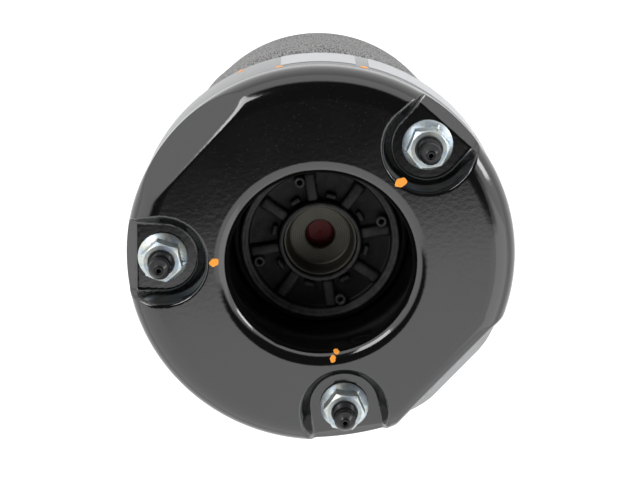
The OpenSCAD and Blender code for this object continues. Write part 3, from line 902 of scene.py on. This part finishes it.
# %% [markdown]
# ## The rolling piston
# The piston is a deep aluminium skirt on a web of its own. The bellows rolls on its straight upper
# part; below that it tapers. A rolled bead stiffens its lower rim.

# %% Rolling piston
PISTON_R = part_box("rolling_piston")[1].x / MM
rolling = turned("rolling_piston_shell", [
    (PISTON_R - 4, -154.2), (PISTON_R - 1.2, -154.2), (PISTON_R, -155.6), (PISTON_R, -232),
    (PISTON_R - 0.4, -235), (44.4, -272), (45.2, -274.5), (45.4, -276.5), (45, -278.6), (43.6, -279.9),
    (41.6, -279.9), (40.5, -278.6), (40.2, -275), (PISTON_R - 4, -231)], 160)
soften(rolling, 0.4)
finish_piece(rolling, LOWER, "piston_aluminium", "rolling_piston")

# %% [markdown]
# ## The damper tube and the lower eye
# The tube is closed by a dished end, and the eye's neck is welded to it. A weld bead is a ring of
# overlapping drops, so it is made from a torus whose section swells and shrinks in small steps.

# %% Damper tube
tube_low, tube_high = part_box("damper_tube")
TUBE_R = tube_high.x / MM
tube_end, tube_top = tube_low.z / MM, tube_high.z / MM
tube = turned("tube", [
    (TUBE_R - 2.5, tube_top), (TUBE_R, tube_top), (TUBE_R, -196), (TUBE_R - 1, -196), (TUBE_R - 1, -198.3),
    (TUBE_R, -198.3), (TUBE_R, tube_end + 12), (TUBE_R - 0.5, tube_end + 11), (TUBE_R - 0.5, tube_end + 8),
    (TUBE_R, tube_end + 7), (TUBE_R, tube_end + 4), (TUBE_R - 1.4, tube_end + 1.2), (TUBE_R - 4, tube_end),
    (3, tube_end), (3, tube_end + 6), (TUBE_R - 2.5, tube_end + 6)], 128)
soften(tube, 0.4)
finish_piece(tube, LOWER, "tube_black", "damper_tube")


def weld_bead(name, radius, thick, z, drops):
    """A torus whose section swells once for each drop of weld."""
    deselect()
    bpy.ops.mesh.primitive_torus_add(
        major_radius=radius * MM, minor_radius=thick * MM, major_segments=drops * 4,
        minor_segments=12, location=(0, 0, z * MM))
    bead = settle(bpy.context.object)
    bead.name = name
    for v in bead.data.vertices:
        turn = math.atan2(v.co.y, v.co.x)
        middle = Vector((math.cos(turn), math.sin(turn), 0)) * radius * MM + Vector((0, 0, z * MM))
        swell = 1 + 0.14 * math.cos(turn * drops) + 0.05 * math.sin(turn * 5)
        v.co = middle + (v.co - middle) * swell
    bpy.ops.object.shade_smooth()
    return bead


# %% Lower eye
eye_z = mounts["lower_bush"]["pos_m"][2] / MM
EYE_R, EYE_HALF, EYE_BORE = 24, 20, 20
to_eye = Matrix.Translation((0, 0, eye_z * MM)) @ Matrix.Rotation(math.pi / 2, 4, "Y")
eye = turned("eye", [
    (EYE_BORE, -EYE_HALF), (EYE_R - 1, -EYE_HALF), (EYE_R, -EYE_HALF + 1), (EYE_R, EYE_HALF - 1),
    (EYE_R - 1, EYE_HALF), (EYE_BORE, EYE_HALF)], 96)
soften(eye, 0.5, 3)
eye.data.transform(to_eye)
neck = turned("eye_neck", [(3, eye_z + 22), (15, eye_z + 22), (14.6, eye_z + 24.2), (16.4, tube_end + 0.5),
                           (16.4, tube_end + 1), (3, tube_end + 1)], 96)
soften(neck, 0.5)
eye = join("lower_eye_forging", [eye, neck, weld_bead("weld", 16.6, 1.9, tube_end - 0.3, 46)])
finish_piece(eye, LOWER, "tube_black", "lower_eye")

# %% [markdown]
# ## The lower bush
# A rubber bush is bonded between two steel sleeves. The rubber bulges out at both ends. The inner
# sleeve takes the bolt and turns with it, so it rides on its own body.

# %% Bush
outer_sleeve = turned("bush_shell", [(18, -19.6), (19.95, -19.6), (19.95, 19.6), (18, 19.6)], 96)
soften(outer_sleeve, 0.3)
outer_sleeve.data.transform(to_eye)
finish_piece(outer_sleeve, LOWER, "crimp_steel", "bush_outer_sleeve")

rubber = turned("bush_rubber_body", [
    (10.1, -21), (11.2, -22), (13.6, -21.7), (15.8, -20.4), (17.2, -18.2), (17.9, -17.4), (17.9, 17.4),
    (17.2, 18.2), (15.8, 20.4), (13.6, 21.7), (11.2, 22), (10.1, 21)], 96)
soften(rubber, 0.4, 3, 15)
rubber.data.transform(to_eye)
finish_piece(rubber, LOWER, "black_rubber", "bush_rubber")

inner_sleeve = turned("bush_tube", [(6.1, -27.4), (6.8, -28), (9.4, -28), (10, -27.4), (10, 27.4), (9.4, 28),
                                    (6.8, 28), (6.1, 27.4)], 96)
soften(inner_sleeve, 0.15)
inner_sleeve.data.transform(to_eye)
finish_piece(inner_sleeve, BUSH, "nut_zinc", "bush_inner_sleeve")

# %% [markdown]
# ## The air fitting
# The air line pushes into a brass fitting on the side of the cap. It is a hexagon, a collar, and a
# plastic ring that releases the line. It is built upright and then laid over.

# %% Air fitting
port = mounts["air_port"]
port_turn = math.atan2(port["axis"][1], port["axis"][0])
to_port = (Matrix.Rotation(port_turn, 4, "Z") @ Matrix.Translation((0, 0, port["pos_m"][2]))
           @ Matrix.Rotation(math.pi / 2, 4, "Y"))
deselect()
bpy.ops.mesh.primitive_cylinder_add(vertices=6, radius=8 * MM, depth=4.5 * MM,
                                    location=(0, 0, (cap_r + 2.4) * MM))
hexagon = soften(settle(bpy.context.object), 0.4, 3)
body = soften(turned("fitting_body", [
    (3.05, 72), (6, 72), (6, cap_r + 1), (6, cap_r + 4.5), (6.4, cap_r + 4.8), (6.4, cap_r + 7.2),
    (6, cap_r + 7.6), (4.4, cap_r + 7.6), (4.3, cap_r + 3), (3.05, cap_r + 2.6)], 64), 0.2)
fitting = join("fitting", [body, hexagon])
fitting.data.transform(to_port)
finish_piece(fitting, TOP, "fitting_brass", "air_fitting")

collet = soften(turned("collet", [(3.1, 87.4), (4.2, 87.4), (4.2, 91.6), (5.0, 92.0), (5.0, 92.8), (4.6, 93),
                                  (3.5, 93), (3.1, 92.6)], 48), 0.15)
collet.data.transform(to_port)
finish_piece(collet, TOP, "collet_plastic", "fitting_collet")

# %% [markdown]
# ## Inspection marks
# A checker dabs orange paint beside each nut and on the band to show that it was torqued. A dab is a
# small disc whose rim wanders and whose middle is raised.

# %% Paint dabs
def dab(name, size_mm, stretch, to_place):
    """A drop of paint with an uneven rim."""
    deselect()
    bpy.ops.mesh.primitive_circle_add(vertices=28, radius=size_mm * MM, fill_type="NGON")
    mark = settle(bpy.context.object)
    mark.name = name
    bpy.ops.object.mode_set(mode="EDIT")
    bpy.ops.mesh.select_all(action="SELECT")
    bpy.ops.mesh.extrude_region_move(TRANSFORM_OT_translate={"value": (0, 0, 0.16 * MM)})
    for inset in (0.16, 0.25):
        bpy.ops.mesh.inset(thickness=size_mm * inset * MM, depth=0.05 * MM)
    bpy.ops.mesh.select_all(action="SELECT")
    bpy.ops.mesh.normals_make_consistent(inside=False)
    bpy.ops.object.mode_set(mode="OBJECT")
    phase = dice.uniform(0, 6)
    for v in mark.data.vertices:
        turn = math.atan2(v.co.y, v.co.x)
        wander = 1 + 0.13 * math.sin(2 * turn + phase) + 0.07 * math.sin(5 * turn + 2 * phase)
        v.co.x *= wander * stretch
        v.co.y *= wander
    mark.data.transform(to_place)
    bpy.ops.object.shade_smooth()
    return mark


def on_seat(r, degrees):
    """A place on the seat, or on the lip where r is inside the seat, facing along the surface."""
    lean = math.asin(max(0, seat_in - r) / LIP_ROUND)
    height = LIP_ROUND * (math.cos(lean) - 1) - 0.05
    lay = Matrix.Translation((r * MM, 0, height * MM)) @ Matrix.Rotation(-lean, 4, "Y")
    return Matrix.Rotation(math.radians(degrees), 4, "Z") @ lay


def on_band(degrees, z):
    """A place on the side of the cap's band."""
    lay = Matrix.Translation((cap_r * MM - 0.1 * MM, 0, z * MM)) @ Matrix.Rotation(math.pi / 2, 4, "Y")
    return Matrix.Rotation(math.radians(degrees), 4, "Z") @ lay


# %% Marks on the seat and on the band
seat_dabs = join("seat_marks", [
    dab("dab", 1.9, 1.0, on_seat(46.0, 178.3)), dab("dab", 2.0, 1.3, on_seat(50.2, 47.8)),
    dab("dab", 1.4, 1.1, on_seat(43.2, -82.7)), dab("dab", 1.3, 1.2, on_seat(40.9, -80.1))])
finish_piece(seat_dabs, TOP, "mark_orange")
band_dabs = join("band_marks", [
    dab("dab", 1.6, 1.0, on_band(114.9, -44.4)), dab("dab", 1.6, 1.0, on_band(102.5, -23)),
    dab("dab", 1.8, 1.0, on_band(77.5, -22))])
finish_piece(band_dabs, TOP, "mark_orange")

# %% [markdown]
# ## Studio
# A pale floor, far enough below the strut for its longest stroke, fills the view from above. The
# light is a pale room that gets darker straight overhead, so the black plate shows both a bright
# and a dark part, and three soft boxes that draw the highlights.

# %% Floor
FLOOR_ROOM = 0.066
deselect()
bpy.ops.mesh.primitive_plane_add(size=30, location=(0, 0, cad_low.z - FLOOR_ROOM))
floor = bpy.context.object
floor.name = "floor"
floor_look = Recipe("floor_pale", roughness=0.9)
floor_look.set("Base Color", (0.93, 0.93, 0.93, 1))
floor_look.set("Emission Color", (1, 1, 1, 1))
floor_look.set("Emission Strength", 0.25)
floor.data.materials.append(floor_look.done())
print("floor", round(FLOOR_ROOM / MM), "mm below the strut")

# %% Room light
world = bpy.data.worlds.new("room")
bpy.context.scene.world = world
world.use_nodes = True
sky_light = world.node_tree.nodes["Background"]
room = Graph(world.node_tree)
direction = room.node("ShaderNodeTexCoord")
across, along, upward = [room.node("ShaderNodeSeparateXYZ", None, {0: direction}, out=i) for i in range(3)]
ROOM_LEVEL, DARK_LEVEL = 1.45, 0.03
near = room.between(along - across * 0.2, -0.31, -0.245)
far = 1 - room.between(along, 0.84, 0.95)
aside = across - 0.06
middle = 1 - room.between(aside.math("ABSOLUTE", aside), 0.58, 0.78)
dark = room.between(upward, 0.36, 0.50) * near * far * middle
room.feed(sky_light.inputs["Strength"], ROOM_LEVEL - dark * (ROOM_LEVEL - DARK_LEVEL))
sky_light.inputs["Color"].default_value = (1.0, 1.0, 1.0, 1)
print("room light from", DARK_LEVEL, "to", ROOM_LEVEL)


# %% Soft boxes
def soft_box(name, place, aim, size, watts):
    """A square lamp at place that faces aim."""
    data = bpy.data.lights.new(name, "AREA")
    data.shape, data.size, data.energy = "SQUARE", size, watts
    lamp = bpy.data.objects.new(name, data)
    bpy.context.scene.collection.objects.link(lamp)
    lamp.location = place
    lamp.rotation_mode = "QUATERNION"
    lamp.rotation_quaternion = (Vector(place) - Vector(aim)).to_track_quat("Z", "Y")
    lamp.visible_camera = False
    return lamp


soft_box("key", (-0.9, 0.9, 0.9), (0, 0, -0.02), 0.7, 9)
soft_box("fill", (1.1, -0.5, 0.7), (0, 0, -0.1), 1.2, 2.5)
soft_box("edge", (1.08, 0.44, 0.24), (0, 0, -0.02), 0.35, 2.5)
bpy.context.scene.view_settings.view_transform = "Standard"
print(len(bpy.data.lights), "soft boxes")
